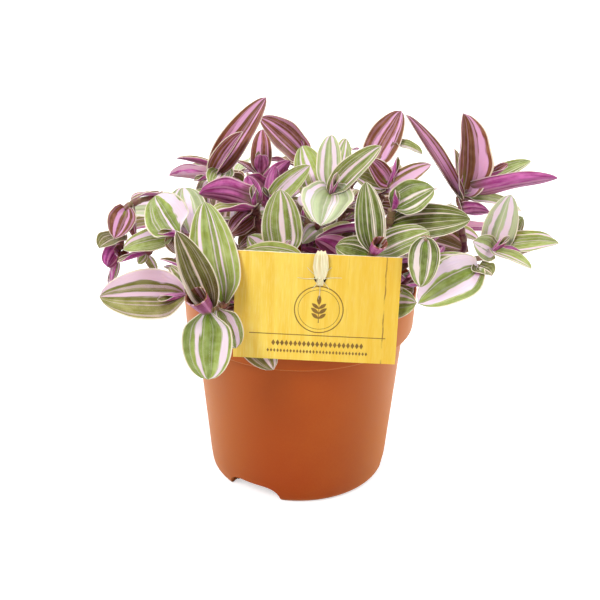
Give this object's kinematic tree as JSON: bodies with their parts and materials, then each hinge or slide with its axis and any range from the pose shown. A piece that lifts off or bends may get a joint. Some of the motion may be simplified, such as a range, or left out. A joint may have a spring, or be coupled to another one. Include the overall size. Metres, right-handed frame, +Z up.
{
  "type": "potted tradescantia",
  "caption": "House plant in a terracotta nursery pot: shoots with striped green, white and pink leaves root in soil and spill over the rim, and a card tag hangs in front on a raffia tie.",
  "frame": {"origin": "centre of the pot's underside, at the level of its foot ring and hub", "axes": "+Z up, -Y towards the front, where the tag hangs, +X to the right seen from the front"},
  "size_m": [0.2304, 0.2034, 0.1983],
  "materials": {
    "pot_plastic": "terracotta brown polypropylene, satin",
    "potting_soil": "moist dark peat and bark fibre, crumbly",
    "leaf": "waxy leaf: green with white and pink stripes above, magenta below",
    "tag_card": "stiff card with a printed yellow board pattern, matt",
    "raffia": "pale raffia ribbon, finely fibrous"
  },
  "bodies": {
    "root": {"pot": "pot_plastic", "shoot_back_far_left": "leaf", "shoot_back_far_right": "leaf", "shoot_back_left": "leaf", "shoot_back_mid": "leaf", "shoot_back_mid_left": "leaf", "shoot_back_mid_right": "leaf", "shoot_back_right": "leaf", "shoot_centre": "leaf", "shoot_centre_left": "leaf", "shoot_front_card": "leaf", "shoot_front_left": "leaf", "shoot_front_low": "leaf", "shoot_front_mid": "leaf", "shoot_front_right": "leaf", "shoot_front_tip": "leaf", "shoot_left_far": "leaf", "shoot_left_hang": "leaf", "shoot_left_low": "leaf", "shoot_left_mid": "leaf", "shoot_left_top": "leaf", "shoot_mid_left": "leaf", "shoot_middle_left": "leaf", "shoot_right_far": "leaf", "shoot_right_front": "leaf", "shoot_right_inner": "leaf", "shoot_right_low": "leaf", "shoot_right_mid": "leaf", "shoot_right_up": "leaf", "shoot_top_left": "leaf", "shoot_top_mid": "leaf", "shoot_top_right": "leaf", "soil": "potting_soil", "tag_card": "tag_card", "tag_tie": "raffia"}
  },
  "joints": []
}
